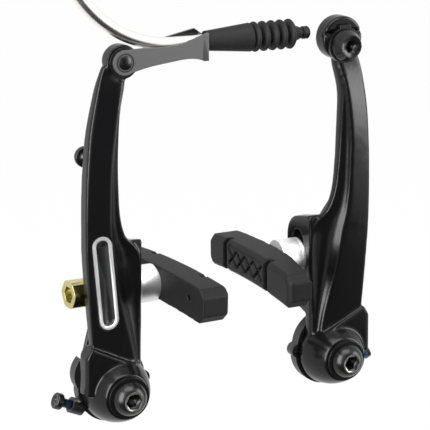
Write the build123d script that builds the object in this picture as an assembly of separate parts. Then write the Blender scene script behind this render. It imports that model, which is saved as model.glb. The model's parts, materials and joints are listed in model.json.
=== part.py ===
from build123d import *
import os
from math import cos, radians, sin, sqrt

# Linear-pull brake for a bicycle: two arms on frame bosses, with pads, link, guide pipe and boot.
# Millimetres. X to the right, Y away from the viewer towards the frame, Z up.
# The origin is midway between the two boss axes, in the plane of the bosses' free ends.
# Both sides are drawn as the left one, with x counted inwards from the boss axis, then placed.

# Frame bosses and pivots
BOSS_SPACING = 80.0
BOSS_LENGTH = 16.0
BOSS_RADIUS = 4.0
SLEEVE_GAP = 0.2
SLEEVE_WALL = 1.75
SLEEVE_PROUD = 0.7
RUNNING_GAP = 0.05
SEAT_GAP = 0.02
AXIAL_GAP = 0.15
BOLT_RADIUS = 3.0
BOLT_REACH = 11.0
BOLT_HEAD_RADIUS = 5.7
BOLT_RIM = 0.7
BOLT_DOME = 3.1
BOLT_FACE_RADIUS = 3.3
BOLT_SOCKET = 5.0
BOLT_SOCKET_DEPTH = 3.0
WASHER_THICK = 0.8
WASHER_RADIUS = 6.9

# Arm
ARM_LENGTH = 107.0
LEFT_LEAN = 1.375
RIGHT_LEAN = 0.52
BARREL_RADIUS = 11.2
BARREL_LIP_RADIUS = 7.4
BARREL_DEPTH = 11.8
BARREL_RECESS = 2.6
SHOULDER_FRONT = 3.9
SHOULDER_EDGE = 12.4
SHOULDER_HEIGHT = 16.0
SHOULDER_LOW = 8.4
BLADE_FRONT = 4.7
BLADE_EDGE = 0.8
BLADE_STEP = 1.6
BLADE_STEP_GROWTH = 0.1
WEB_HOLLOW = 0.3
HEAD_RADIUS = 5.4
HEAD_FRONT = 5.0
HEAD_DEPTH = 5.2
DRUM_RADIUS = 7.2
DRUM_RISE = 2.0
DRUM_FRONT = 1.9
DRUM_DEPTH = 6.2

# Pad flange and its slot
FLANGE_FACE = 8.6
FLANGE_THICK = 4.6
FLANGE_FRONT = 8.7
FLANGE_BACK = 24.6
FLANGE_TOP = 49.2
FLANGE_BACK_TOP = 45.6
FLANGE_CORNER = 7.5
FLANGE_LOW = 14.3
STUD_Y = 17.2
SLOT_WIDTH = 7.3
SLOT_LOW = 25.0
SLOT_HIGH = 42.5

# Pads and their hardware
LEFT_STUD_HEIGHT = 31.4
RIGHT_STUD_HEIGHT = 33.4
LEFT_TOE = 5.0
RIGHT_TOE = 1.6
STUD_RADIUS = 3.0
STUD_IN_PAD = 4.0
SPHERE_RADIUS = 7.0
CUP_RADIUS = 6.2
CUP_REACH = 8.0
PAD_REACH = 10.2
DOME_BORE = 4.1
PAD_WASHER_THICK = 1.0
NUT_LENGTH = 11.4
NUT_FLATS = 8.6
NUT_SOCKET = 5.0
NUT_SOCKET_DEPTH = 4.0
NUT_THREAD_DEPTH = 6.5
PAD_LENGTH = 62.0
PAD_HEIGHT = 11.2
PAD_THICK = 10.3
LEFT_PAD_DROP = -0.8
RIGHT_PAD_DROP = 1.8
PAD_SHIFT = 1.4
PAD_BEVEL = 1.3
PAD_NOSE = 2.6
PAD_END_CUT = 3.6
PAD_HOLE_Y = 22.0
RIM_RADIUS = 330.0
GROOVE_WIDTH = 2.6
GROOVE_DEPTH = 3.2
GROOVE_NEAR = 13.4
GROOVE_FAR = 17.4
LATTICE_WIDTH = 1.1
LATTICE_DEPTH = 1.3
LATTICE_PITCH = 6.4
WEAR_LINE_DROP = 1.9
WEAR_LINE = 0.7

# Spring, its holder and its pin on the arm
HOLDER_RADIUS = 12.0
HOLDER_CROWN_RADIUS = 11.5
HOLDER_CROWN_RISE = 2.0
HOLDER_LOBE_RADIUS = 7.9
HOLDER_LOBE_X = -5.3
HOLDER_LOBE_RISE = 5.0
HOLDER_WALL = 1.5
HOLDER_FRONT = 12.2
HOLDER_FLOOR = 1.4
HOLDER_PIN_RADIUS = 1.3
HOLDER_PIN_LENGTH = 3.0
HOLDER_PIN_PITCH = 9.4
WIRE_RADIUS = 0.9
COIL_RADIUS = 8.6
COIL_TURNS = 1.5
LEG_LEAD = 5.0
LEG_BEND = 6.0
SPRING_PIN_X = -9.4
SPRING_PIN_HEIGHT = 76.5
SPRING_PIN_RADIUS = 1.5
SPRING_PIN_FLANGE = 3.4
SPRING_PIN_SEAT = 5.9
SPRING_PIN_GAP = 12.0
SPRING_PIN_BACK = 14.0
SCREW_RADIUS = 1.5
SCREW_HEAD_RADIUS = 2.7
SCREW_HEAD = 2.4
SCREW_LENGTH = 8.6
SCREW_TILT = 24.0
LEFT_STANDOFF = 3.4
RIGHT_STANDOFF = 1.2
LUG_RADIUS = 2.6
LUG_X = -13.2
LUG_Z = -5.2
LUG_REACH = 1.0

# Link, guide pipe and boot, counted from the link pin
LINK_SHEET = 1.1
LINK_FRONT = 3.3
LINK_LENGTH = 28.6
LINK_EYE = 3.9
LINK_END_LOW = -1.6
LINK_END_HIGH = 7.2
LINK_CHANNEL = 4.6
LINK_REAR_LENGTH = 20.0
PIPE_HEIGHT = 4.2
PIN_RADIUS = 1.7
PIN_HEAD_RADIUS = 2.2
PIN_HEAD = 0.8
PIN_TAIL = 0.8
PIPE_RADIUS = 2.1
PIPE_BORE = 1.3
PIPE_BEND = 39.0
PIPE_BEND_START = 18.4
PIPE_NOSE = 3.6
PIPE_TAIL = 10.0
PIPE_HOLE_GAP = 0.2
FERRULE_RADIUS = 3.0
FERRULE_LENGTH = 12.0
FERRULE_LAP = 5.0
LINER_BORE = 0.8
BOOT_TAPER = 15.9
BOOT_SMALL = 3.15
BOOT_LARGE = 4.6
BOOT_RIDGES = 5
BOOT_PITCH = 3.15
BOOT_RIDGE = 4.85
BOOT_VALLEY = 3.3
BOOT_CONE = 3.0
BOOT_TIP = 2.05
BOOT_TIP_LENGTH = 2.5
BOOT_NECK = 1.6
BOOT_BORE = 0.9

# Cable clamp
CLAMP_WASHER_RADIUS = 5.8
CLAMP_WASHER_THICK = 1.3
CLAMP_BOLT_RADIUS = 3.0
CLAMP_BOLT_REACH = 7.0
CLAMP_HEAD_BASE = 5.2
CLAMP_HEAD_TOP = 3.8
CLAMP_HEAD = 3.8
CLAMP_SOCKET = 4.0
CLAMP_SOCKET_DEPTH = 2.6

# Badge on the left arm
BADGE_LENGTH = 31.0
BADGE_WIDTH = 6.6
BADGE_THICK = 0.5
BADGE_RING = 1.15
BADGE_RECESS = 0.35
BADGE_X = -5.7
BADGE_Y = 4.75
BADGE_HEIGHT = 37.0
BADGE_LEAN = -6.5
BADGE_PITCH = 1.4

SLEEVE_BORE = BOSS_RADIUS + SLEEVE_GAP
SLEEVE_RADIUS = SLEEVE_BORE + SLEEVE_WALL
ARM_FACE = AXIAL_GAP - SLEEVE_PROUD
ARM_BORE = SLEEVE_RADIUS + RUNNING_GAP
FLANGE_MIDDLE = FLANGE_FACE - FLANGE_THICK / 2
PIPE_Y = LINK_FRONT + LINK_SHEET + LINK_CHANNEL / 2
LINK_BACK = LINK_FRONT + 2 * LINK_SHEET + LINK_CHANNEL


def turned(points, x=0.0, z=0.0):
    """Solid of revolution about a line along Y, from the (radius, y) corners of its half section."""
    return Pos(x, 0, z) * revolve(make_face(Polyline(*points, close=True)), Axis.Y)


def rod(radius, start, end, x=0.0, z=0.0):
    """Round bar along Y."""
    return Pos(x, (start + end) / 2, z) * Rot(90, 0, 0) * Cylinder(radius, abs(end - start))


def rod_x(radius, start, end, y=0.0, z=0.0):
    """Round bar along X."""
    return Pos((start + end) / 2, y, z) * Rot(0, 90, 0) * Cylinder(radius, abs(end - start))


def plate_xz(outline, front, back):
    """Plate between two depths, from an outline drawn in x and z."""
    return extrude(Plane.XZ.offset(-back) * make_face(outline), back - front)


def plate_yz(outline, start, end):
    """Plate between two x values, from an outline drawn in y and z."""
    return extrude(Plane.YZ.offset(start) * make_face(outline), end - start)


def hex_bar(flats, start, end, x=0.0, z=0.0):
    """Six-sided bar along Y."""
    face = Plane.XZ.offset(-end) * RegularPolygon(flats / 2, 6, major_radius=False)
    return Pos(x, 0, z) * extrude(face, end - start)


# Arm
# At each height the front face runs from its outer corner to its inner corner, a hollow web runs
# from there back to the rib, and the rib goes back to its own depth.
# Columns: height, outer x and y, inner x and y, rib x and y, rib depth, depth of the outer edge.
def blade_stations():
    top = FLANGE_TOP
    rest = ARM_LENGTH - FLANGE_TOP
    front = BLADE_FRONT
    return [
        (2.0, -8.0, front + 0.8, 6.4, 5.8, 8.4, 8.0, 2.6, 3.6),
        (0.3 * top, -9.7, front + 0.4, 4.0, 5.6, 8.3, 8.2, 2.2, 3.9),
        (0.6 * top, -11.0, front + 0.1, 0.0, 5.2, FLANGE_FACE, FLANGE_FRONT, 1.7, 4.8),
        (0.82 * top, -11.8, front, -2.1, 4.8, FLANGE_FACE, FLANGE_FRONT, 1.7, 5.2),
        (0.88 * top, -12.0, front, -2.6, 4.7, 8.2, 8.6, 1.8, 5.3),
        (0.93 * top, -12.1, front, -3.1, 4.5, 7.2, 8.3, 2.0, 5.3),
        (0.97 * top, -12.2, front, -3.5, 4.4, 5.7, 8.0, 2.2, 5.3),
        (top, -12.2, front, -3.8, 4.3, 4.0, 7.6, 2.4, 5.3),
        (top + 0.04 * rest, -12.25, front, -4.1, 4.2, 2.1, 7.2, 2.6, 5.3),
        (top + 0.15 * rest, -12.3, front, -4.6, 3.8, 0.2, 6.5, 3.0, 5.3),
        (top + 0.32 * rest, -12.2, front, -4.7, 3.3, -0.7, 6.0, 3.2, 5.2),
        (top + 0.45 * rest, -11.9, front, -4.5, 2.9, -1.0, 5.8, 3.3, 5.0),
        (top + 0.60 * rest, -11.3, front, -3.6, 2.7, -1.1, 5.2, 3.4, 4.6),
        (top + 0.72 * rest, -10.3, front, -2.5, 2.7, -0.9, 4.9, 3.4, 4.1),
        (top + 0.86 * rest, -8.6, front, -0.7, 3.7, 0.6, 5.4, 3.2, 3.7),
        (top + 0.92 * rest, -7.6, front + 0.6, 0.4, 5.1, 1.8, 6.6, 2.2, 2.9),
        (top + 0.98 * rest, -6.2, front + 0.8, 0.9, 5.3, 2.2, 6.8, 2.0, 2.6),
    ]


def station_slope(rows, index, column):
    low = rows[max(index - 1, 0)]
    high = rows[min(index + 1, len(rows) - 1)]
    return (high[column] - low[column]) / (high[0] - low[0])


def blade_row(rows, height):
    """Blade measures at any height, on smooth curves through the listed stations."""
    index = max(number for number in range(len(rows) - 1) if rows[number][0] <= height)
    below = rows[index]
    above = rows[index + 1]
    span = above[0] - below[0]
    share = (height - below[0]) / span
    row = [height]
    for column in range(1, len(below)):
        rise = above[column] - below[column]
        start = station_slope(rows, index, column) * span
        end = station_slope(rows, index + 1, column) * span
        bend = 3 * rise - 2 * start - end
        twist = start + end - 2 * rise
        row.append(below[column] + share * (start + share * (bend + share * twist)))
    return row


def blade_heights(low, high):
    """Heights of the blade's sections, close together at the flange's top and wider apart away from it."""
    heights = []
    for way, limit in ((-1, low), (1, high)):
        height = FLANGE_TOP
        while (limit - height) * way > BLADE_STEP:
            heights.append(height)
            height += way * (BLADE_STEP + BLADE_STEP_GROWTH * abs(height - FLANGE_TOP))
        heights.append(limit)
    return sorted(set(heights))


def blade_section(height, outer, outer_y, inner, inner_y, rib, rib_y, rib_depth, edge_depth):
    a = Vector(outer, outer_y, height)
    b = Vector(inner, inner_y, height)
    c = Vector(rib, rib_y, height)
    d = Vector(rib, rib_y + rib_depth, height)
    g = Vector(outer, outer_y + edge_depth, height)
    corners = [a, b, c, d, g]
    web_hollow = (b + c) * 0.5 + Vector(-(c.Y - b.Y), c.X - b.X) * WEB_HOLLOW
    edges = []
    for index, corner in enumerate(corners):
        before = corners[index - 1]
        after = corners[(index + 1) % len(corners)]
        start = corner + (before - corner).normalized() * BLADE_EDGE
        end = corner + (after - corner).normalized() * BLADE_EDGE
        reach = after + (corner - after).normalized() * BLADE_EDGE
        edges.append(Bezier(start, corner, end))
        edges.append(Bezier(end, web_hollow, reach) if corner is b else Line(end, reach))
    return make_face(edges)


def arm_blade():
    """Blade from the barrel to the head, beside the pad flange and bent inwards above it."""
    rows = blade_stations()
    heights = blade_heights(rows[0][0], rows[-1][0])
    return loft([blade_section(*blade_row(rows, height)) for height in heights])


def arm_barrel():
    lip = (BARREL_LIP_RADIUS, ARM_FACE)
    widest = (BARREL_RADIUS, 0.8 * BARREL_DEPTH)
    bulge = (0.86 * BARREL_RADIUS, 0.3 * BARREL_DEPTH)
    back = (BARREL_RADIUS - 0.2, BARREL_DEPTH)
    outline = Line((0, ARM_FACE), lip) + ThreePointArc(lip, bulge, widest) + Line(widest, back)
    outline += Line(back, (0, BARREL_DEPTH)) + Line((0, BARREL_DEPTH), (0, ARM_FACE))
    return revolve(make_face(outline), Axis.Y)


def arm_shoulder():
    edge = -SHOULDER_EDGE
    outline = Polyline(
        (edge, 0),
        (edge, SHOULDER_HEIGHT - 3.5),
        (edge + 2.2, SHOULDER_HEIGHT),
        (5.5, SHOULDER_LOW),
        (5.5, 0),
        close=True,
    )
    block = plate_xz(outline, SHOULDER_FRONT, BARREL_DEPTH - 1.0)
    outer = block.edges().filter_by(Axis.Z).sort_by(Axis.X)[:2]
    return fillet(outer, 1.6)


def arm_flange():
    outline = Polyline(
        (FLANGE_FRONT, 6.0),
        (FLANGE_FRONT, FLANGE_TOP),
        (FLANGE_BACK, FLANGE_BACK_TOP),
        (FLANGE_BACK, SLOT_LOW - SLOT_WIDTH),
        (BARREL_DEPTH, FLANGE_LOW),
        (BARREL_DEPTH, 6.0),
        close=True,
    )
    plate = plate_yz(outline, FLANGE_FACE - FLANGE_THICK, FLANGE_FACE)
    corners = plate.edges().filter_by(Axis.X)
    back_top = corners.sort_by_distance((FLANGE_FACE, FLANGE_BACK, FLANGE_BACK_TOP))[0]
    plate = fillet(back_top, FLANGE_CORNER)
    corners = plate.edges().filter_by(Axis.X)
    front_top = corners.sort_by_distance((FLANGE_FACE, FLANGE_FRONT, FLANGE_TOP))[0]
    plate = fillet(front_top, 1.2)
    height = SLOT_HIGH - SLOT_LOW
    middle = (SLOT_HIGH + SLOT_LOW) / 2
    slot = Plane.YZ.offset(FLANGE_FACE - 2 * FLANGE_THICK) * Pos(STUD_Y, middle)
    slot *= SlotOverall(height, SLOT_WIDTH, rotation=90)
    return plate, extrude(slot, 3 * FLANGE_THICK)


def arm_blank():
    """What both arms share, before the head is added."""
    flange, slot = arm_flange()
    arm = arm_blade() + arm_barrel() + arm_shoulder() + flange - slot
    arm -= rod(ARM_BORE, -1, BARREL_DEPTH + 1)
    recess = rod(COIL_RADIUS + WIRE_RADIUS + 0.5, BARREL_DEPTH - BARREL_RECESS, BARREL_DEPTH + 1)
    recess -= rod(ARM_BORE + 1.3, 0, BARREL_DEPTH + 2)
    arm -= recess
    arm -= rod(SPRING_PIN_RADIUS + SEAT_GAP, SPRING_PIN_SEAT, BARREL_DEPTH, SPRING_PIN_X, SPRING_PIN_HEIGHT)
    return arm


def left_arm_shape(blank):
    head = rod(HEAD_RADIUS, HEAD_FRONT, HEAD_FRONT + HEAD_DEPTH, z=ARM_LENGTH)
    head = fillet(head.edges().sort_by(Axis.Y)[-1:], 1.0)
    spot_face = rod(HEAD_RADIUS + 0.6, 0, HEAD_FRONT, z=ARM_LENGTH)
    arm = blank - spot_face + head
    arm -= rod(PIN_RADIUS + SEAT_GAP, 0, HEAD_FRONT + 2 * HEAD_DEPTH, z=ARM_LENGTH)
    arm -= badge_pocket()
    return arm


def right_arm_shape(blank):
    back = DRUM_FRONT + DRUM_DEPTH
    drum = rod(DRUM_RADIUS, DRUM_FRONT, back, z=ARM_LENGTH + DRUM_RISE)
    drum = fillet(drum.edges().filter_by(GeomType.CIRCLE), 0.9)
    arm = blank + drum
    arm -= rod(CLAMP_BOLT_RADIUS + SEAT_GAP, 0, back + 1, z=ARM_LENGTH)
    groove_height = ARM_LENGTH + CLAMP_BOLT_RADIUS + BOOT_BORE
    arm -= rod_x(BOOT_BORE, -DRUM_RADIUS, DRUM_RADIUS, DRUM_FRONT, groove_height)
    return arm


# Pivot hardware
def pivot_sleeve():
    return rod(SLEEVE_RADIUS, -SLEEVE_PROUD, BOSS_LENGTH) - rod(SLEEVE_BORE, -1, BOSS_LENGTH + 1)


def bolt_washer():
    front = -SLEEVE_PROUD - WASHER_THICK
    return rod(WASHER_RADIUS, front, -SLEEVE_PROUD) - rod(SLEEVE_BORE, front - 1, 1)


def pivot_bolt():
    seat = -SLEEVE_PROUD - WASHER_THICK
    rim = seat - BOLT_RIM
    face = rim - BOLT_DOME
    outline = Line((0, BOLT_REACH), (BOLT_RADIUS - 0.6, BOLT_REACH))
    outline += Line((BOLT_RADIUS - 0.6, BOLT_REACH), (BOLT_RADIUS, BOLT_REACH - 0.6))
    outline += Line((BOLT_RADIUS, BOLT_REACH - 0.6), (BOLT_RADIUS, seat))
    outline += Line((BOLT_RADIUS, seat), (BOLT_HEAD_RADIUS, seat))
    outline += Line((BOLT_HEAD_RADIUS, seat), (BOLT_HEAD_RADIUS, rim))
    crown = (0.86 * BOLT_HEAD_RADIUS, rim - 0.55 * BOLT_DOME)
    outline += ThreePointArc((BOLT_HEAD_RADIUS, rim), crown, (BOLT_FACE_RADIUS, face))
    outline += Line((BOLT_FACE_RADIUS, face), (0, face))
    outline += Line((0, face), (0, BOLT_REACH))
    bolt = revolve(make_face(outline), Axis.Y)
    return bolt - hex_bar(BOLT_SOCKET, face - 1, face + BOLT_SOCKET_DEPTH)


# Spring holder, spring, screw and pin
def screw_place(distance):
    """Place on the tension screw's axis, counted outwards from the lug's middle, with Z outwards."""
    tilt = radians(SCREW_TILT)
    depth = (HOLDER_FRONT + BOSS_LENGTH) / 2
    centre = (LUG_X - distance * cos(tilt), depth, LUG_Z + distance * sin(tilt))
    return Location(centre, (0, SCREW_TILT - 90, 0))


def screw_bar(radius, start, end):
    """Round bar along the tension screw's axis."""
    return screw_place((start + end) / 2) * Cylinder(radius, end - start)


def spring_holder():
    bore = SLEEVE_RADIUS + RUNNING_GAP
    body = rod(HOLDER_RADIUS, HOLDER_FRONT, BOSS_LENGTH)
    body += rod(HOLDER_CROWN_RADIUS, HOLDER_FRONT, BOSS_LENGTH, 0, HOLDER_CROWN_RISE)
    body += rod(HOLDER_LOBE_RADIUS, HOLDER_FRONT, BOSS_LENGTH, HOLDER_LOBE_X, HOLDER_LOBE_RISE)
    cup = rod(HOLDER_RADIUS - HOLDER_WALL, HOLDER_FRONT - 1, BOSS_LENGTH - HOLDER_FLOOR)
    body -= cup - rod(bore + HOLDER_WALL, 0, BOSS_LENGTH)
    lug = screw_bar(LUG_RADIUS, -3.4, LUG_REACH)
    body += lug - rod(HOLDER_RADIUS - HOLDER_WALL, 0, 2 * BOSS_LENGTH)
    knob = rod(2.4, HOLDER_FRONT, BOSS_LENGTH, HOLDER_RADIUS - 1.0, 1.0)
    body += knob - rod(HOLDER_RADIUS - HOLDER_WALL, 0, 2 * BOSS_LENGTH)
    turn = radians(-30)
    pin_x = HOLDER_PIN_PITCH * cos(turn)
    pin_z = HOLDER_PIN_PITCH * sin(turn)
    body += rod(HOLDER_PIN_RADIUS, BOSS_LENGTH - 0.5, BOSS_LENGTH + HOLDER_PIN_LENGTH, pin_x, pin_z)
    body -= rod(bore, 0, 2 * BOSS_LENGTH)
    body -= screw_bar(SCREW_RADIUS + RUNNING_GAP, -8, LUG_REACH + 1)
    notch = Box(4.4, BOSS_LENGTH, 2 * HOLDER_RADIUS, align=(Align.CENTER, Align.MIN, Align.MIN))
    return body - Pos(-COIL_RADIUS, HOLDER_FRONT - 1, 1.0) * notch


def return_spring():
    start = BARREL_DEPTH - BARREL_RECESS + WIRE_RADIUS + 0.4
    pitch = 2 * WIRE_RADIUS + 0.15
    rise = pitch * COIL_TURNS
    plane = Plane((0, start, 0), x_dir=(1, 0, 0), z_dir=(0, 1, 0))
    coil = plane * Helix(pitch, rise, COIL_RADIUS)
    hook_x = SPRING_PIN_X + SPRING_PIN_RADIUS + WIRE_RADIUS + 0.25
    hook_y = SPRING_PIN_GAP - WIRE_RADIUS - 0.25
    behind_cup = STUD_Y + CUP_RADIUS + 2 * WIRE_RADIUS + 0.2
    leg = FilletPolyline(
        coil @ 1,
        coil @ 1 + (coil % 1) * LEG_LEAD,
        (-COIL_RADIUS + 0.4, BOSS_LENGTH + 0.3, 10.0),
        (-3.0, behind_cup - 3.6, LEFT_STUD_HEIGHT - 11.0),
        (0.6, behind_cup, LEFT_STUD_HEIGHT),
        (-2.6, behind_cup - 2.4, FLANGE_TOP - 7.0),
        (-5.8, behind_cup - 6.8, FLANGE_TOP + 2.0),
        (hook_x + 0.3, hook_y + 2.0, SPRING_PIN_HEIGHT - 13.0),
        (hook_x, hook_y, SPRING_PIN_HEIGHT - 4.0),
        (hook_x, hook_y, SPRING_PIN_HEIGHT + 3.5),
        radius=LEG_BEND,
    )
    return sweep(Plane(coil @ 0, z_dir=coil % 0) * Circle(WIRE_RADIUS), Wire([coil, *leg.edges()]))


def spring_pin():
    pin = rod(SPRING_PIN_RADIUS, SPRING_PIN_SEAT, SPRING_PIN_BACK, SPRING_PIN_X, SPRING_PIN_HEIGHT)
    flange = rod(SPRING_PIN_FLANGE, SPRING_PIN_GAP, SPRING_PIN_BACK, SPRING_PIN_X, SPRING_PIN_HEIGHT)
    return pin + fillet(flange.edges().filter_by(GeomType.CIRCLE), 0.5)


def tension_screw(standoff):
    under = LUG_REACH + standoff
    screw = screw_bar(SCREW_RADIUS, under - SCREW_LENGTH, under)
    head = screw_bar(SCREW_HEAD_RADIUS, under, under + SCREW_HEAD)
    screw += fillet(head.edges().filter_by(GeomType.CIRCLE), 0.5)
    for turn in (0, 90):
        cross = Rot(0, 0, turn) * Box(3.2, 0.8, 2.4)
        screw -= screw_place(under + SCREW_HEAD) * cross
    return screw


# Pad and its hardware, along X from the middle of the pad flange
def turned_x(outline):
    """Solid of revolution about X, from a half section drawn in x and radius."""
    return revolve(make_face(outline), Axis.X)


def ball_x(radius, height):
    """How far along X a ball's surface lies at a height above the axis."""
    return sqrt(radius * radius - height * height)


def ball_arc(radius, high, low):
    middle = (high + low) / 2
    ends = [(ball_x(radius, h), h) for h in (high, middle, low)]
    return ThreePointArc(*ends)


def dome_washer():
    flat = FLANGE_THICK / 2
    rim = ball_x(SPHERE_RADIUS, CUP_RADIUS)
    crest = ball_x(SPHERE_RADIUS, DOME_BORE)
    outline = ball_arc(SPHERE_RADIUS, CUP_RADIUS, DOME_BORE)
    outline += Polyline((crest, DOME_BORE), (flat, DOME_BORE), (flat, CUP_RADIUS), (rim, CUP_RADIUS))
    return turned_x(outline)


def cup_washer(reach):
    ball = SPHERE_RADIUS + SEAT_GAP
    hole = STUD_RADIUS + 0.15
    rim = ball_x(ball, CUP_RADIUS)
    crest = ball_x(ball, hole)
    outline = ball_arc(ball, CUP_RADIUS, hole)
    outline += Polyline((crest, hole), (reach, hole), (reach, CUP_RADIUS), (rim, CUP_RADIUS))
    return turned_x(outline)


def pad_washer():
    start = -CUP_REACH - PAD_WASHER_THICK
    ring = rod_x(CUP_RADIUS - 0.4, start, -CUP_REACH)
    return ring - rod_x(STUD_RADIUS + 0.15, start - 1, 0)


def hex_bar_x(flats, start, end):
    face = Plane.YZ.offset(start) * RegularPolygon(flats / 2, 6, major_radius=False)
    return extrude(face, end - start)


def pad_nut():
    seat = -CUP_REACH - PAD_WASHER_THICK
    tip = seat - NUT_LENGTH
    nut = hex_bar_x(NUT_FLATS, tip, seat) & rod_x(0.54 * NUT_FLATS, tip, seat)
    nut -= rod_x(STUD_RADIUS + SEAT_GAP, seat - NUT_THREAD_DEPTH, seat + 1)
    return nut - hex_bar_x(NUT_SOCKET, tip - 1, tip + NUT_SOCKET_DEPTH)


def pad_stud():
    seat = -CUP_REACH - PAD_WASHER_THICK
    return rod_x(STUD_RADIUS, seat - NUT_THREAD_DEPTH + 0.4, PAD_REACH + STUD_IN_PAD)


def pad_edge(offset, y):
    """Height of a line that runs round the rim, at an offset from the pad's middle line."""
    radius = RIM_RADIUS + offset
    return sqrt(radius * radius - y * y) - RIM_RADIUS


def pad_outline():
    half = PAD_LENGTH / 2
    side = half - PAD_NOSE
    high = PAD_HEIGHT / 2
    top = pad_edge(high, side)
    low = pad_edge(-high, side)
    outline = ThreePointArc((-side, low), (0, pad_edge(-high, 0)), (side, low))
    outline += Polyline((side, low), (half, low + PAD_NOSE), (half, top - PAD_NOSE), (side, top))
    outline += ThreePointArc((side, top), (0, pad_edge(high, 0)), (-side, top))
    outline += Polyline((-side, top), (-half, top - PAD_NOSE), (-half, low + PAD_NOSE), (-side, low))
    return outline


def pad_lattice(face):
    """Crossed grooves in the block between the two deep ones, and the thin wear line above them."""
    near = -GROOVE_NEAR + GROOVE_WIDTH
    far = GROOVE_FAR - GROOVE_WIDTH
    middle = (near + far) / 2
    room = Pos(face, middle, 0) * Box(2 * LATTICE_DEPTH, far - near, PAD_HEIGHT - 5.5)
    bar = Box(2 * LATTICE_DEPTH, LATTICE_WIDTH, 3 * PAD_HEIGHT)
    count = int((far - near) / LATTICE_PITCH)
    bars = []
    for turn in (-48, 48):
        for index in range(-count // 2, count // 2 + 2):
            place = Pos(face, middle + (index - 0.5) * LATTICE_PITCH, 0)
            bars.append(place * Rot(turn, 0, 0) * bar)
    line_height = PAD_HEIGHT / 2 - WEAR_LINE_DROP
    line = Pos(face, middle, line_height) * Box(2 * WEAR_LINE, far - near, WEAR_LINE)
    return [room & item for item in bars] + [line]


def pad_end(face, way):
    """Wedge cut off the pad's rim side at one end."""
    end = way * PAD_LENGTH / 2
    beyond = end + way * PAD_END_CUT
    outline = Polyline(
        (face + PAD_END_CUT, end - 2 * way * PAD_END_CUT),
        (face - PAD_END_CUT, beyond),
        (face + PAD_END_CUT, beyond),
        close=True,
    )
    return extrude(Plane.XY.offset(-PAD_LENGTH) * make_face(outline), 2 * PAD_LENGTH)


def pad(side):
    """Pad from its stud: the same moulding on both sides, turned end for end on the left."""
    face = PAD_REACH + PAD_THICK
    block = plate_yz(pad_outline(), PAD_REACH, face)
    block = chamfer(block.faces().sort_by(Axis.X)[-1].edges(), PAD_BEVEL)
    for way in (-1, 1):
        block -= pad_end(face, way)
    for y in (-GROOVE_NEAR, GROOVE_FAR):
        block -= Pos(face, y, 0) * Box(2 * GROOVE_DEPTH, GROOVE_WIDTH, 3 * PAD_HEIGHT)
    for item in pad_lattice(face):
        block -= item
    block -= rod_x(0.9, 0, PAD_REACH + 4.0, PAD_HOLE_Y, 0)
    block = Pos(0, PAD_SHIFT, 0) * block
    if side == "left":
        block = Pos(0, 0, -LEFT_PAD_DROP) * mirror(block, Plane.XZ)
    else:
        block = Pos(0, 0, -RIGHT_PAD_DROP) * block
    return block - rod_x(STUD_RADIUS + SEAT_GAP, 0, PAD_REACH + STUD_IN_PAD + 0.3)


# Link, guide pipe and boot, from the link pin
def link():
    back = LINK_FRONT + LINK_SHEET
    eye_low = (2.0, -sqrt(LINK_EYE * LINK_EYE - 4.0))
    outline = Spline(
        (0, LINK_EYE),
        (0.22 * LINK_LENGTH, LINK_EYE + 0.1),
        (0.5 * LINK_LENGTH, LINK_EYE),
        (0.75 * LINK_LENGTH, 0.7 * LINK_END_HIGH),
        (LINK_LENGTH, LINK_END_HIGH),
        tangents=[(1, 0), (1, 0.25)],
    )
    outline += Line((LINK_LENGTH, LINK_END_HIGH), (LINK_LENGTH, LINK_END_LOW))
    outline += Line((LINK_LENGTH, LINK_END_LOW), (LINK_LENGTH - 1.6, LINK_END_LOW))
    outline += Spline(
        (LINK_LENGTH - 1.6, LINK_END_LOW),
        (0.85 * LINK_LENGTH, 0.45 * LINK_END_LOW),
        (0.55 * LINK_LENGTH, 0.6 * LINK_END_LOW),
        (0.3 * LINK_LENGTH, 1.15 * LINK_END_LOW),
        eye_low,
    )
    outline += ThreePointArc(eye_low, (-LINK_EYE, 0), (0, LINK_EYE))
    sheet = plate_xz(outline, LINK_FRONT, back)
    sheet -= rod(PIN_RADIUS + RUNNING_GAP, 0, LINK_BACK)
    wall_x = LINK_LENGTH - LINK_SHEET
    wall_high = LINK_END_HIGH - 0.8
    wall = Box(LINK_SHEET, LINK_BACK - LINK_FRONT, wall_high - LINK_END_LOW, align=(Align.MIN,) * 3)
    wall = Pos(wall_x, LINK_FRONT, LINK_END_LOW) * wall
    hole = PIPE_RADIUS + PIPE_HOLE_GAP
    wall -= rod_x(hole, wall_x - 1, LINK_LENGTH + 1, PIPE_Y, PIPE_HEIGHT)
    mouth = Box(LINK_LENGTH, 1.3 * PIPE_RADIUS, LINK_END_HIGH, align=(Align.CENTER, Align.CENTER, Align.MIN))
    wall -= Pos(LINK_LENGTH, PIPE_Y, PIPE_HEIGHT) * mouth
    rear_end = LINK_LENGTH - LINK_REAR_LENGTH
    rear = Polyline(
        (LINK_LENGTH, LINK_END_LOW),
        (LINK_LENGTH, wall_high),
        (LINK_LENGTH - 2.2, LINK_END_HIGH + 0.8),
        (LINK_LENGTH - 0.75 * LINK_REAR_LENGTH, PIPE_HEIGHT + 1.2),
        (rear_end, 0.4 * PIPE_HEIGHT),
        (rear_end, 0.6 * LINK_END_LOW),
        close=True,
    )
    return sheet + wall + plate_xz(rear, LINK_BACK - LINK_SHEET, LINK_BACK)


def link_pin():
    end = HEAD_FRONT + HEAD_DEPTH + PIN_TAIL
    top = LINK_FRONT - PIN_HEAD
    edge = (PIN_HEAD_RADIUS, LINK_FRONT - 0.2)
    crown = (0.6 * PIN_HEAD_RADIUS, top + 0.2)
    outline = ThreePointArc(edge, crown, (0.5, top))
    outline += Polyline((0.5, top), (0, top), (0, end), (PIN_RADIUS, end), (PIN_RADIUS, LINK_FRONT - SEAT_GAP),
                        (PIN_HEAD_RADIUS, LINK_FRONT - SEAT_GAP), edge)
    return revolve(make_face(outline), Axis.Y)


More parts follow.
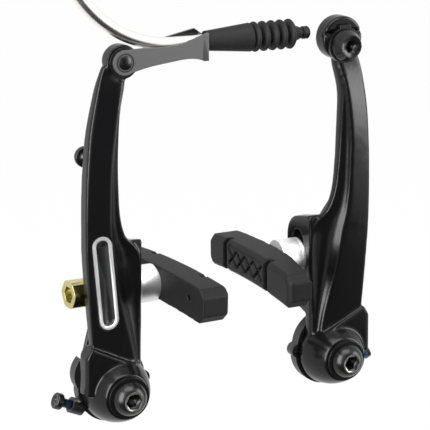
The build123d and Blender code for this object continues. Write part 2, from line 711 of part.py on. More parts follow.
def link_washer():
    start = LINK_FRONT + LINK_SHEET + SEAT_GAP
    ring = rod(LINK_EYE + 0.8, start, HEAD_FRONT - SEAT_GAP)
    return ring - rod(PIN_RADIUS + SEAT_GAP, 0, HEAD_FRONT + 1)


def pipe_path(nose, tail):
    """Middle line of the guide pipe: straight in the link, then bent a quarter turn upwards."""
    corner = (PIPE_BEND_START, PIPE_Y, PIPE_HEIGHT)
    upper = (PIPE_BEND_START - PIPE_BEND, PIPE_Y, PIPE_HEIGHT + PIPE_BEND)
    share = PIPE_BEND * sqrt(0.5)
    middle = (corner[0] - share, PIPE_Y, upper[2] - share)
    path = Line((LINK_LENGTH + nose, PIPE_Y, PIPE_HEIGHT), corner)
    path += ThreePointArc(corner, middle, upper)
    path += Line(upper, (upper[0], PIPE_Y, upper[2] + tail))
    return path


def tube(path, radius, bore):
    ring = Circle(radius) - Circle(bore)
    return sweep(Plane(path @ 0, z_dir=path % 0) * ring, path)


def guide_pipe():
    return tube(pipe_path(PIPE_NOSE, PIPE_TAIL), PIPE_RADIUS, PIPE_BORE)


def pipe_liner():
    return tube(pipe_path(PIPE_NOSE + 2.5, PIPE_TAIL), PIPE_BORE - SEAT_GAP, LINER_BORE)


def pipe_ferrule():
    x = PIPE_BEND_START - PIPE_BEND
    end = PIPE_HEIGHT + PIPE_BEND + PIPE_TAIL
    low = end - FERRULE_LAP
    base = Pos(x, PIPE_Y, low)
    up = (Align.CENTER, Align.CENTER, Align.MIN)
    body = base * Cylinder(FERRULE_RADIUS, FERRULE_LENGTH, align=up)
    body = chamfer(body.edges().filter_by(GeomType.CIRCLE), 0.5)
    body -= base * Cylinder(PIPE_RADIUS + SEAT_GAP, FERRULE_LAP, align=up)
    body -= base * Cylinder(PIPE_BORE, FERRULE_LENGTH, align=up)
    return body - Pos(x, PIPE_Y, end + 1.0) * Cylinder(FERRULE_RADIUS - 0.5, FERRULE_LENGTH, align=up)


def boot():
    start = LINK_LENGTH + 0.2
    bellows = start + BOOT_TAPER
    outline = Polyline((start, PIPE_RADIUS + 0.1), (start, BOOT_SMALL), (bellows, BOOT_LARGE))
    outline += Line((bellows, BOOT_LARGE), (bellows, BOOT_VALLEY))
    for index in range(BOOT_RIDGES):
        left = bellows + index * BOOT_PITCH
        right = left + BOOT_PITCH
        middle = (left + right) / 2
        foot = left + 0.12 * BOOT_PITCH
        heel = right - 0.12 * BOOT_PITCH
        crown = 0.62 * BOOT_RIDGE + 0.38 * BOOT_VALLEY
        outline += Polyline((left, BOOT_VALLEY), (foot, BOOT_VALLEY), (foot, crown))
        outline += ThreePointArc((foot, crown), (middle, BOOT_RIDGE), (heel, crown))
        outline += Polyline((heel, crown), (heel, BOOT_VALLEY), (right, BOOT_VALLEY))
    cone = bellows + BOOT_RIDGES * BOOT_PITCH
    neck = cone + BOOT_CONE
    tip = neck + BOOT_TIP_LENGTH
    outline += Polyline((cone, BOOT_VALLEY), (neck, BOOT_NECK), (neck + 0.3, BOOT_TIP), (tip - 0.4, BOOT_TIP),
                        (tip, BOOT_TIP - 0.4), (tip, BOOT_BORE))
    pocket = start + PIPE_NOSE + 3.0
    outline += Polyline((tip, BOOT_BORE), (cone, BOOT_BORE), (cone - 1.0, BOOT_VALLEY - 1.1),
                        (pocket, BOOT_VALLEY - 1.1), (pocket, PIPE_RADIUS + 0.1), (start, PIPE_RADIUS + 0.1))
    return Pos(0, PIPE_Y, PIPE_HEIGHT) * turned_x(outline)


# Cable clamp on the right arm, from the clamp bolt's axis
def clamp_washer():
    start = DRUM_FRONT - CLAMP_WASHER_THICK
    ring = rod(CLAMP_WASHER_RADIUS, start, DRUM_FRONT)
    tab = Pos(0, (start + DRUM_FRONT) / 2, CLAMP_WASHER_RADIUS) * Box(4.0, CLAMP_WASHER_THICK, 1.6)
    return ring + tab - rod(CLAMP_BOLT_RADIUS + 0.15, start - 1, DRUM_FRONT + 1)


def clamp_bolt():
    seat = DRUM_FRONT - CLAMP_WASHER_THICK
    face = seat - CLAMP_HEAD
    end = seat + CLAMP_BOLT_REACH
    body = turned([
        (0, face),
        (CLAMP_HEAD_TOP, face),
        (CLAMP_HEAD_BASE, seat - 0.8),
        (CLAMP_HEAD_BASE, seat),
        (CLAMP_BOLT_RADIUS, seat),
        (CLAMP_BOLT_RADIUS, end),
        (0, end),
    ])
    return body - hex_bar(CLAMP_SOCKET, face - 1, face + CLAMP_SOCKET_DEPTH)


# Badge, set in a pocket of the left arm's front face
def badge_plane(depth):
    """Plane parallel to the front face, at a depth behind it, facing the viewer."""
    lean = radians(BADGE_LEAN)
    pitch = radians(BADGE_PITCH)
    facing = Vector(0, -cos(pitch), -sin(pitch))
    across = Vector(cos(lean), 0, -sin(lean) * cos(pitch))
    return Plane(Vector(BADGE_X, BADGE_Y, BADGE_HEIGHT) - facing * depth, x_dir=across, z_dir=facing)


def badge_pocket():
    face = badge_plane(BADGE_RECESS) * SlotOverall(BADGE_LENGTH + 0.1, BADGE_WIDTH + 0.1, rotation=90)
    return extrude(face, 3.0)


def badge():
    floor = badge_plane(BADGE_RECESS - SEAT_GAP)
    base = SlotOverall(BADGE_LENGTH, BADGE_WIDTH, rotation=90)
    inside = SlotOverall(BADGE_LENGTH - 2 * BADGE_RING, BADGE_WIDTH - 2 * BADGE_RING, rotation=90)
    hollow = extrude(floor.offset(0.5 * BADGE_THICK) * inside, BADGE_THICK)
    return extrude(floor * base, BADGE_THICK) - hollow


# Placing
def place_left(shape, lean=0.0):
    return Location((-BOSS_SPACING / 2, 0, 0), (0, lean, 0)) * shape


def place_side(side, shape, lean=0.0):
    placed = place_left(shape, lean)
    return placed if side == "left" else mirror(placed, Plane.YZ)


def pad_place(stud_height, toe):
    return Location((FLANGE_MIDDLE, STUD_Y, stud_height), (0, 0, toe))


def link_place():
    lean = radians(LEFT_LEAN)
    return Pos(-BOSS_SPACING / 2 + ARM_LENGTH * sin(lean), 0, ARM_LENGTH * cos(lean))


def side_parts(side, lean, stud_height, toe):
    """The pieces that both sides have, by name, apart from the arm."""
    fixed = {
        "pivot_sleeve": pivot_sleeve(),
        "pivot_bolt": pivot_bolt(),
        "bolt_washer": bolt_washer(),
        "spring_holder": spring_holder(),
        "tension_screw": tension_screw(LEFT_STANDOFF if side == "left" else RIGHT_STANDOFF),
    }
    flat = Pos(FLANGE_MIDDLE, STUD_Y, stud_height)
    toed = pad_place(stud_height, toe)
    round_x = Rot(0, 0, 180)
    carried = {
        "return_spring": return_spring(),
        "spring_pin": spring_pin(),
        "inner_dome_washer": flat * dome_washer(),
        "outer_dome_washer": flat * round_x * dome_washer(),
        "inner_cup_washer": toed * cup_washer(PAD_REACH),
        "outer_cup_washer": toed * round_x * cup_washer(CUP_REACH),
        "pad_washer": toed * pad_washer(),
        "pad_nut": toed * pad_nut(),
        "pad_stud": toed * pad_stud(),
        "pad": toed * pad(side),
    }
    placed = {name: place_side(side, shape) for name, shape in fixed.items()}
    placed.update({name: place_side(side, shape, lean) for name, shape in carried.items()})
    return {f"{side}_{name}": shape for name, shape in placed.items()}


def all_parts():
    blank = arm_blank()
    parts = {
        "left_arm": place_side("left", left_arm_shape(blank), LEFT_LEAN),
        "right_arm": place_side("right", right_arm_shape(blank), RIGHT_LEAN),
        "badge": place_side("left", badge(), LEFT_LEAN),
        "cable_clamp_washer": place_side("right", Pos(0, 0, ARM_LENGTH) * clamp_washer(), RIGHT_LEAN),
        "cable_clamp_bolt": place_side("right", Pos(0, 0, ARM_LENGTH) * clamp_bolt(), RIGHT_LEAN),
    }
    parts.update(side_parts("left", LEFT_LEAN, LEFT_STUD_HEIGHT, LEFT_TOE))
    parts.update(side_parts("right", RIGHT_LEAN, RIGHT_STUD_HEIGHT, RIGHT_TOE))
    from_pin = {
        "link": link(),
        "link_pin": link_pin(),
        "link_washer": link_washer(),
        "guide_pipe": guide_pipe(),
        "pipe_liner": pipe_liner(),
        "pipe_ferrule": pipe_ferrule(),
        "cable_boot": boot(),
    }
    parts.update({name: link_place() * shape for name, shape in from_pin.items()})
    return parts


if __name__ == "__main__":
    os.makedirs("parts", exist_ok=True)
    for name, shape in all_parts().items():
        export_step(shape, f"parts/{name}.step")
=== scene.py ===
import json
import math

import bmesh
import bpy
import numpy as np
from mathutils import Matrix, Vector


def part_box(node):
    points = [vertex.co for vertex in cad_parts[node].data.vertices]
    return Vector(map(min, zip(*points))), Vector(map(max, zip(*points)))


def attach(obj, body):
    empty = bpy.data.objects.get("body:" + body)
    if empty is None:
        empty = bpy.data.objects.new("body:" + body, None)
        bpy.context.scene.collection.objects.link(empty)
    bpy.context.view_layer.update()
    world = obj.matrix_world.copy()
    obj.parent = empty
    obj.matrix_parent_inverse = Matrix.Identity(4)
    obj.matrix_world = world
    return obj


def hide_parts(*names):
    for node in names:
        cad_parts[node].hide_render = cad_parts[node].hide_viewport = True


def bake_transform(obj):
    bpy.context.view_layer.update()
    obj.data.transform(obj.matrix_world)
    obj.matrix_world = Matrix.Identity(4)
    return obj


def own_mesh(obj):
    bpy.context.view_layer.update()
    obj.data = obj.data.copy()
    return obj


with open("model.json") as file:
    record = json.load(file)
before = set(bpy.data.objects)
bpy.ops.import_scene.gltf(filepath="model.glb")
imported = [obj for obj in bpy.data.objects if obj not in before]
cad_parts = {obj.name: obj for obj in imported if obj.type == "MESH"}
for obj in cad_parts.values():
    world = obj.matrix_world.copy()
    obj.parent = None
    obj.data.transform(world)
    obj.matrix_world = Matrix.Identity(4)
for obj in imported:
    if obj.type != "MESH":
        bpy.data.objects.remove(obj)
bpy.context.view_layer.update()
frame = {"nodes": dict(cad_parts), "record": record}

MM = 0.001
scene = bpy.context.scene
scene.view_settings.view_transform = "Standard"

# The view is that of a long lens held a little to the left of the brake and above its middle.
# Distances are in millimetres from the middle of the line between the frame bosses.
CAMERA_AT = Vector((-265.07, -511.93, 206.02)) * MM
LOOK_AT = Vector((-5.63, 6.0, 54.44)) * MM
CAMERA_ROLL = 0.22
LENS = 155.63
SENSOR = 36.0


def aimed(place, target):
    """Matrix of a camera or lamp that stands at this place and looks at the target."""
    turn = (target - place).to_track_quat("-Z", "Y").to_matrix().to_4x4()
    return Matrix.Translation(place) @ turn


camera_data = bpy.data.cameras.new("camera")
camera_data.lens = LENS
camera_data.sensor_width = SENSOR
camera_data.sensor_fit = "HORIZONTAL"
camera = bpy.data.objects.new("camera", camera_data)
scene.collection.objects.link(camera)
camera.matrix_world = aimed(CAMERA_AT, LOOK_AT) @ Matrix.Rotation(math.radians(-CAMERA_ROLL), 4, "Z")
scene.camera = camera

# White paper sweep: a floor well below the hanging brake and a white room round it.
# The paper shows white to the eye and in the metal, and still takes part of a shadow.
WHITE = (1.0, 1.0, 1.0, 1.0)
WORLD_LIGHT = 0.55
PAPER_COLOUR = "#F4F4F4"
PAPER_SHOWS_WHITE = 0.97
FLOOR_DROP = 0.20
FLOOR_HALF = 4.0


def linear(hex_colour):
    """sRGB hex to linear red, green, blue and alpha: the standard curve, channel by channel."""
    out = []
    for i in (1, 3, 5):
        value = int(hex_colour[i:i + 2], 16) / 255
        out.append(value / 12.92 if value <= 0.04045 else ((value + 0.055) / 1.055) ** 2.4)
    return (*out, 1.0)


def add(tree, kind, settings=None, values=None, links=None):
    """Adds one node, sets its own properties and its input values, and links its inputs."""
    made = tree.nodes.new(kind)
    for name, value in (settings or {}).items():
        setattr(made, name, value)
    for name, value in (values or {}).items():
        made.inputs[name].default_value = value
    for name, socket in (links or {}).items():
        tree.links.new(socket, made.inputs[name])
    return made


def maths(tree, operation, *terms):
    """One step of arithmetic on numbers and sockets."""
    step = add(tree, "ShaderNodeMath", {"operation": operation})
    for i, term in enumerate(terms):
        if isinstance(term, (int, float)):
            step.inputs[i].default_value = term
        else:
            tree.links.new(term, step.inputs[i])
    return step.outputs[0]


def emptied(owner):
    """Node tree of a world or a material, with nothing in it."""
    owner.use_nodes = True
    owner.node_tree.nodes.clear()
    return owner.node_tree


def seen_white(tree):
    """1 for what the camera sees, straight, in a reflection or through glass, and otherwise 0."""
    path = add(tree, "ShaderNodeLightPath")
    seen = maths(tree, "MAXIMUM", path.outputs["Is Camera Ray"], path.outputs["Is Glossy Ray"])
    return maths(tree, "MAXIMUM", seen, path.outputs["Is Transmission Ray"])


def sheet(name, points, faces, material):
    """A flat or folded sheet of the studio."""
    mesh = bpy.data.meshes.new(name)
    mesh.from_pydata(points, [], faces)
    mesh.materials.append(material)
    made = bpy.data.objects.new(name, mesh)
    scene.collection.objects.link(made)
    return made


world = bpy.data.worlds.new("white_room")
scene.world = world
tree = emptied(world)
lit = add(tree, "ShaderNodeBackground", values={"Color": WHITE, "Strength": WORLD_LIGHT})
shown = add(tree, "ShaderNodeBackground", values={"Color": WHITE, "Strength": 1.0})
mixed = add(tree, "ShaderNodeMixShader", links={0: seen_white(tree), 1: lit.outputs[0], 2: shown.outputs[0]})
add(tree, "ShaderNodeOutputWorld", links={"Surface": mixed.outputs[0]})

paper = bpy.data.materials.new("white_paper")
tree = emptied(paper)
share = maths(tree, "MULTIPLY", seen_white(tree), PAPER_SHOWS_WHITE)
matt = add(tree, "ShaderNodeBsdfDiffuse", values={"Color": linear(PAPER_COLOUR)})
white = add(tree, "ShaderNodeEmission", values={"Color": WHITE, "Strength": 1.0})
mixed = add(tree, "ShaderNodeMixShader", links={0: share, 1: matt.outputs[0], 2: white.outputs[0]})
add(tree, "ShaderNodeOutputMaterial", links={"Surface": mixed.outputs[0]})

floor = sheet("floor", [(-FLOOR_HALF, -FLOOR_HALF, -FLOOR_DROP), (FLOOR_HALF, -FLOOR_HALF, -FLOOR_DROP),
                        (FLOOR_HALF, FLOOR_HALF, -FLOOR_DROP), (-FLOOR_HALF, FLOOR_HALF, -FLOOR_DROP)],
              [(0, 1, 2, 3)], paper)

# Three softboxes: a tall one on either side and a wide one overhead.
# Each has its place in metres, its width and height, and its power in watts.
SOFTBOXES = [
    ("left_softbox", (-0.95, -0.45, 0.30), (0.55, 1.1), 22.0),
    ("top_softbox", (-0.10, -0.35, 1.00), (0.9, 0.6), 9.0),
    ("right_softbox", (1.00, -0.62, 0.32), (0.60, 1.0), 15.0),
]
for name, place, size, power in SOFTBOXES:
    lamp = bpy.data.lights.new(name, "AREA")
    lamp.shape = "RECTANGLE"
    lamp.size, lamp.size_y = size
    lamp.energy = power
    box = bpy.data.objects.new(name, lamp)
    box.matrix_world = aimed(Vector(place), LOOK_AT)
    scene.collection.objects.link(box)

# Dark felt hangs behind the camera and lies in front of the brake, seen only in the gloss of the
# pieces, so that faces turned to the viewer stay black as they do in front of an unlit room.
CARD_GLOW = 0.02
CARD_FAR = -1.5
CARD_NEAR = -0.05
CARD_LOW = -0.19
CARD_HIGH = 1.4
CARD_LEFT = -0.50
CARD_RIGHT = 0.46

dark = bpy.data.materials.new("dark_card_felt")
tree = emptied(dark)
glow = add(tree, "ShaderNodeEmission", values={"Color": WHITE, "Strength": CARD_GLOW})
add(tree, "ShaderNodeOutputMaterial", links={"Surface": glow.outputs[0]})
card = sheet("dark_card", [(CARD_LEFT, CARD_NEAR, CARD_LOW), (CARD_RIGHT, CARD_NEAR, CARD_LOW),
                           (CARD_LEFT, CARD_FAR, CARD_LOW), (CARD_RIGHT, CARD_FAR, CARD_LOW),
                           (CARD_LEFT, CARD_FAR, CARD_HIGH), (CARD_RIGHT, CARD_FAR, CARD_HIGH)],
             [(0, 1, 3, 2), (2, 3, 5, 4)], dark)
card.visible_camera = False
card.visible_diffuse = False
card.visible_transmission = False
card.visible_shadow = False

# Arms: forged aluminium, shot, then anodised gloss black. They turn on steel sleeves
# that slide over the frame bosses, and each carries its pad on an ear at the back.
ARM_BLACK = "#0B0B0C"
SKIN_SQUARE = 0.34
SKIN_PASSES = 10
SKIN_PULL = 0.5
WELD = 1e-6


def new_material(name):
    """An empty node material with its output, a principled shader and object coordinates."""
    made = bpy.data.materials.new(name)
    tree = emptied(made)
    shader = add(tree, "ShaderNodeBsdfPrincipled")
    add(tree, "ShaderNodeOutputMaterial", links={"Surface": shader.outputs[0]})
    place = add(tree, "ShaderNodeTexCoord")
    return made, tree, shader, place.outputs["Object"]


def grain(tree, place, size_mm, detail):
    """Strength, from 0 to 1, of noise in grains of this size."""
    made = add(tree, "ShaderNodeTexNoise", values={"Scale": 1.0 / (size_mm * MM), "Detail": detail},
               links={"Vector": place})
    return made.outputs["Fac"]


def roughened(tree, shader, strength, smooth, rough):
    """Roughness that wanders between two values with the grain."""
    made = add(tree, "ShaderNodeMapRange", values={"To Min": smooth, "To Max": rough},
               links={"Value": strength})
    tree.links.new(made.outputs[0], shader.inputs["Roughness"])


def bumped(tree, shader, strength, depth_mm, height, edges=None):
    """Fine relief from the grain, over the rounded edges where there are any."""
    links = {"Height": height}
    if edges is not None:
        links["Normal"] = edges
    made = add(tree, "ShaderNodeBump", values={"Strength": strength, "Distance": depth_mm * MM}, links=links)
    tree.links.new(made.outputs[0], shader.inputs["Normal"])


def body_of(node):
    """Name of the body that carries this node."""
    for body, names in frame["record"]["behaviour"]["bodies"].items():
        if node in names:
            return body
    raise KeyError(node)


def joined(node):
    """The node's triangles as one mesh, with the corners that lie together joined."""
    mesh = frame["nodes"][node].data.copy()
    mesh.name = node + "_surface"
    work = bmesh.new()
    work.from_mesh(mesh)
    bmesh.ops.remove_doubles(work, verts=work.verts, dist=WELD)
    for face in work.faces:
        face.smooth = True
    work.to_mesh(mesh)
    work.free()
    mesh.materials.clear()
    return mesh


def shown_as(node, mesh, material, rides=True):
    """Puts the mesh in the node's place, in its finish and, if it rides, on the node's body."""
    mesh.materials.append(material)
    piece = bpy.data.objects.new(node + "_piece", mesh)
    scene.collection.objects.link(piece)
    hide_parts(node)
    if rides:
        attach(piece, body_of(node))
    return piece


def skinned(node, material, square, passes):
    """The node's solid as an even skin of small squares, relaxed so that its faces run into each other."""
    rough = bpy.data.objects.new(node + "_rough", joined(node))
    scene.collection.objects.link(rough)
    skin = rough.modifiers.new("skin", "REMESH")
    skin.mode = "VOXEL"
    skin.voxel_size = square * MM
    skin.use_smooth_shade = True
    relaxed = rough.modifiers.new("relaxed", "SMOOTH")
    relaxed.factor = SKIN_PULL
    relaxed.iterations = passes
    graph = bpy.context.evaluated_depsgraph_get()
    mesh = bpy.data.meshes.new_from_object(rough.evaluated_get(graph))
    mesh.name = node + "_skin"
    mesh.materials.clear()
    bpy.data.objects.remove(rough)
    return shown_as(node, mesh, material)


# Gloss black anodising over a shot forging: deep black with soft, slightly uneven reflections.
anodised, tree, shader, place = new_material("gloss_black_anodised_forging")
roughened(tree, shader, grain(tree, place, size_mm=14.0, detail=2.0), smooth=0.15, rough=0.25)
bumped(tree, shader, strength=0.05, depth_mm=0.05, height=grain(tree, place, size_mm=0.5, detail=3.0))
shader.inputs["Base Color"].default_value = linear(ARM_BLACK)
shader.inputs["IOR"].default_value = 1.32

for node in ("left_arm", "right_arm"):
    skinned(node, anodised, SKIN_SQUARE, SKIN_PASSES)

# Pivots: black button-head bolts with washers, steel sleeves and moulded spring holders.
# Each bolt goes through its sleeve into the boss and holds arm, spring and holder on it.
BOLT_BLACK = "#0D0D0E"
ZINC_GREY = "#C9C9C8"
MOULDED_BLACK = "#131314"
MACHINED_CREASE = 28.0
WIRE_CREASE = 40.0
EDGE_SAMPLES = 6


def dressed(node, material, crease=30.0, rides=True):
    """The node's solid with smooth faces, and sharp edges past the crease angle."""
    mesh = joined(node)
    mesh.set_sharp_from_angle(angle=math.radians(crease))
    return shown_as(node, mesh, material, rides)


def rounded_edges(tree, radius_mm):
    """Normals that round the edges off to this radius."""
    return add(tree, "ShaderNodeBevel", {"samples": EDGE_SAMPLES}, {"Radius": radius_mm * MM}).outputs[0]


def masked(tree, shader, mask, base, marked):
    """Base colour that goes over to another one where the mask is 1."""
    tint = add(tree, "ShaderNodeMix", {"data_type": "RGBA"}, {"A": linear(base), "B": linear(marked)},
               {"Factor": mask})
    tree.links.new(tint.outputs["Result"], shader.inputs["Base Color"])


def plain_finish(name, colour, strength_of, smooth, rough, metallic=1.0):
    """A finish of one colour whose gloss wanders with its grain, given as size and detail."""
    made, tree, shader, place = new_material(name)
    roughened(tree, shader, grain(tree, place, *strength_of), smooth, rough)
    shader.inputs["Base Color"].default_value = linear(colour)
    shader.inputs["Metallic"].default_value = metallic
    return made


# Case-hardened steel, blackened and lightly oiled: bolts, washers and pins.
blackened, tree, shader, place = new_material("blackened_oiled_steel")
roughened(tree, shader, grain(tree, place, size_mm=0.35, detail=4.0), smooth=0.16, rough=0.34)
tree.links.new(rounded_edges(tree, 0.25), shader.inputs["Normal"])
shader.inputs["Base Color"].default_value = linear(BOLT_BLACK)
shader.inputs["IOR"].default_value = 1.38

# The same steel on the bolt heads, with a thin ring of pale bare steel round the hex socket: partly the
# blacking rubbed off by the key, partly a painted highlight standing for the bright rim of the socket's
# chamfer.
BOSS_HALF = 40.0
RIM_WEAR_AND_HIGHLIGHT_INNER = 3.05
RIM_WEAR_AND_HIGHLIGHT_OUTER = 3.35
RIM_WEAR_AND_HIGHLIGHT_FACE_Y = -5.1
WEAR_AND_HIGHLIGHT_STEEL = "#8C8C89"

wear_and_highlight_steel, tree, shader, place = new_material("blackened_steel_wear_and_highlight_at_socket")
speck = grain(tree, place, size_mm=0.35, detail=4.0)
apart = add(tree, "ShaderNodeSeparateXYZ", links={0: place})
across = maths(tree, "SUBTRACT", maths(tree, "ABSOLUTE", apart.outputs["X"]), BOSS_HALF * MM)
round_axis = add(tree, "ShaderNodeCombineXYZ", links={"X": across, "Y": apart.outputs["Z"]})
radius = add(tree, "ShaderNodeVectorMath", {"operation": "LENGTH"}, links={0: round_axis.outputs[0]})
near_socket = add(tree, "ShaderNodeMapRange",
                  values={"From Min": RIM_WEAR_AND_HIGHLIGHT_OUTER * MM, "From Max": RIM_WEAR_AND_HIGHLIGHT_INNER * MM},
                  links={"Value": radius.outputs["Value"]})
uneven = add(tree, "ShaderNodeMapRange", values={"From Min": 0.3, "From Max": 0.6, "To Min": 0.35},
             links={"Value": speck})
# Wear and painted highlight: a pale bare-steel ring on the socket's rim, standing partly for the bright edge
# of its chamfer.
wear_and_highlight = maths(tree, "MULTIPLY", near_socket.outputs[0], uneven.outputs[0])
wear_and_highlight = maths(tree, "MULTIPLY", wear_and_highlight, maths(tree, "LESS_THAN", apart.outputs["Y"], RIM_WEAR_AND_HIGHLIGHT_FACE_Y * MM))
masked(tree, shader, wear_and_highlight, BOLT_BLACK, WEAR_AND_HIGHLIGHT_STEEL)
roughened(tree, shader, speck, smooth=0.16, rough=0.34)
tree.links.new(rounded_edges(tree, 0.25), shader.inputs["Normal"])
tree.links.new(wear_and_highlight, shader.inputs["Metallic"])
shader.inputs["IOR"].default_value = 1.38

# Glass-filled nylon of the spring holders, moulded black with a faintly rough skin.
moulded, tree, shader, place = new_material("black_moulded_nylon")
bumped(tree, shader, strength=0.1, depth_mm=0.05, height=grain(tree, place, size_mm=0.4, detail=3.0),
       edges=rounded_edges(tree, 0.3))
shader.inputs["Base Color"].default_value = linear(MOULDED_BLACK)
shader.inputs["Roughness"].default_value = 0.38

# Bright zinc on the steel sleeves, and dark drawn wire for the springs.
zinc = plain_finish("bright_zinc_on_steel", ZINC_GREY, (0.3, 4.0), smooth=0.22, rough=0.40)
wire = plain_finish("drawn_spring_wire", "#4A4A4B", (0.5, 3.0), smooth=0.25, rough=0.42)

# The tension screws carry a patch of blue locking resin on the threads under their heads.
LOCKING_BLUE = "#25324F"
SCREW_TILT = math.radians(24.0)
LUG_FROM_BOSS = 13.2
LUG_DROP = 5.2
PATCH_START = 1.2
PATCH_END = 3.3

locked, tree, shader, place = new_material("blackened_screw_with_locking_patch")
apart = add(tree, "ShaderNodeSeparateXYZ", links={0: place})
outwards = maths(tree, "MULTIPLY_ADD", maths(tree, "ABSOLUTE", apart.outputs["X"]), math.cos(SCREW_TILT),
                 -(BOSS_HALF + LUG_FROM_BOSS) * math.cos(SCREW_TILT) * MM)
upwards = maths(tree, "MULTIPLY_ADD", apart.outputs["Z"], math.sin(SCREW_TILT),
                LUG_DROP * math.sin(SCREW_TILT) * MM)
along = maths(tree, "ADD", outwards, upwards)
patch = maths(tree, "MULTIPLY", maths(tree, "GREATER_THAN", along, PATCH_START * MM),
              maths(tree, "LESS_THAN", along, PATCH_END * MM))
masked(tree, shader, patch, BOLT_BLACK, LOCKING_BLUE)
roughened(tree, shader, grain(tree, place, size_mm=0.5, detail=3.0), smooth=0.2, rough=0.4)

# The right screw stands deeper in its lug, so its hidden end is ground back to clear the coil.
GROUND_BACK = 1.6
END_DEPTH = 0.2


def corners(mesh):
    """Places of the mesh's corners, in millimetres."""
    found = np.empty(3 * len(mesh.vertices))
    mesh.vertices.foreach_get("co", found)
    return found.reshape(-1, 3) / MM


def place_corners(mesh, places):
    """Moves the mesh's corners to these places, in millimetres."""
    mesh.vertices.foreach_set("co", (places * MM).ravel())
    mesh.update()


def ground_back(mesh, amount):
    """Shortens the right screw at its inner end, along its own slanted axis."""
    places = corners(mesh)
    axis = np.array([math.cos(SCREW_TILT), 0.0, math.sin(SCREW_TILT)])
    along = places @ axis
    places[along < along.min() + END_DEPTH] += axis * amount
    place_corners(mesh, places)


for side in ("left_", "right_"):
    for part in ("bolt_washer", "spring_pin"):
        dressed(side + part, blackened, MACHINED_CREASE)
    screw = dressed(side + "tension_screw", locked, MACHINED_CREASE)
    if side == "right_":
        ground_back(screw.data, GROUND_BACK)
    dressed(side + "pivot_bolt", wear_and_highlight_steel, MACHINED_CREASE)
    dressed(side + "spring_holder", moulded)
    dressed(side + "pivot_sleeve", zinc)
    spring = dressed(side + "return_spring", wire, WIRE_CREASE, rides=False)
    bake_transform(spring)

# Pads: moulded rubber on a threaded stud, held to the ear by pairs of dished washers
# and a yellow-zinc nut with a hex socket.
PAD_SQUARE = 0.3
PAD_PASSES = 6
NUT_CREASE = 25.0


def two_tone(tree, shader, strength, dark_hex, pale_hex):
    """Base colour that wanders between two tones with the grain."""
    tint = add(tree, "ShaderNodeValToRGB", links={"Fac": strength})
    tint.color_ramp.elements[0].color = linear(dark_hex)
    tint.color_ramp.elements[1].color = linear(pale_hex)
    tree.links.new(tint.outputs[0], shader.inputs["Base Color"])


# Brake rubber: black and dull, with the fine grit of the mould.
rubber, tree, shader, place = new_material("moulded_brake_rubber")
grit = grain(tree, place, size_mm=0.45, detail=5.0)
two_tone(tree, shader, grit, "#0A0A0B", "#141415")
bumped(tree, shader, strength=0.35, depth_mm=0.15, height=grit)
shader.inputs["Roughness"].default_value = 0.55
shader.inputs["IOR"].default_value = 1.28

# Zinc-plated stud, with the moulding skin of the rubber on the end that is cast into the pad.
STUD_IN_RUBBER = 23.4

threaded, tree, shader, place = new_material("zinc_stud_cast_into_rubber")
apart = add(tree, "ShaderNodeSeparateXYZ", links={0: place})
bare = maths(tree, "GREATER_THAN", maths(tree, "ABSOLUTE", apart.outputs["X"]), STUD_IN_RUBBER * MM)
masked(tree, shader, bare, MOULDED_BLACK, ZINC_GREY)
roughened(tree, shader, grain(tree, place, size_mm=0.3, detail=4.0), smooth=0.22, rough=0.40)
tree.links.new(bare, shader.inputs["Metallic"])

# Washers turned from aluminium bar and left bare, with a fine dull lustre.
turned = plain_finish("turned_aluminium", "#F2F2F2", (0.25, 3.0), smooth=0.42, rough=0.56)

# Yellow chromate film over zinc on the nuts, thicker in some places than in others.
yellow, tree, shader, place = new_material("yellow_chromate_on_zinc")
two_tone(tree, shader, grain(tree, place, size_mm=6.0, detail=2.0), "#A89A52", "#D9D2A0")
tree.links.new(rounded_edges(tree, 0.25), shader.inputs["Normal"])
shader.inputs["Metallic"].default_value = 1.0
shader.inputs["Roughness"].default_value = 0.22


def drawn_in(mesh, start, end, share):
    """Thins the pad between two places along it, from its back towards the braking face."""
    places = corners(mesh)
    slices = np.floor(places[:, 1]).astype(int)
    face = {step: places[slices == step, 0].min() for step in np.unique(slices)}
    steps = np.array(sorted(face))
    braking = np.interp(places[:, 1], steps + 0.5, [face[step] for step in steps])
    thinner = share * np.clip((places[:, 1] - start) / (end - start), 0.0, 1.0)
    places[:, 0] -= thinner * (places[:, 0] - braking)
    place_corners(mesh, places)


# The near end of the right pad is thinner at its back than the other three ends.
THIN_FROM = 8.0
THIN_TO = -12.0
THIN_SHARE = 0.3

pads = {side: skinned(side + "pad", rubber, PAD_SQUARE, PAD_PASSES) for side in ("left_", "right_")}
drawn_in(pads["right_"].data, THIN_FROM, THIN_TO, THIN_SHARE)

for side in ("left_", "right_"):
    dressed(side + "pad_stud", threaded)
    dressed(side + "pad_nut", yellow, NUT_CREASE)
    for part in ("inner_dome_washer", "outer_dome_washer", "inner_cup_washer", "outer_cup_washer",
                 "pad_washer"):
        dressed(side + part, turned)

# Link and guide pipe: a folded sheet-steel hook that swings on a pin at the left arm's head,
# and the bent chromed pipe whose nose sits in it, with its liner and end ferrule.
PIPE_CREASE = 40.0

# Satin-plated sheet of the link, with a ring pressed into it round the pin. The groove's shade is painted
# into the colour as a darker ring, with no groove in the surface.
LINK_PIN_X = -37.43
LINK_PIN_Z = 106.97
SHADED_GROOVE_RADIUS = 2.75
SHADED_GROOVE_HALF = 0.22

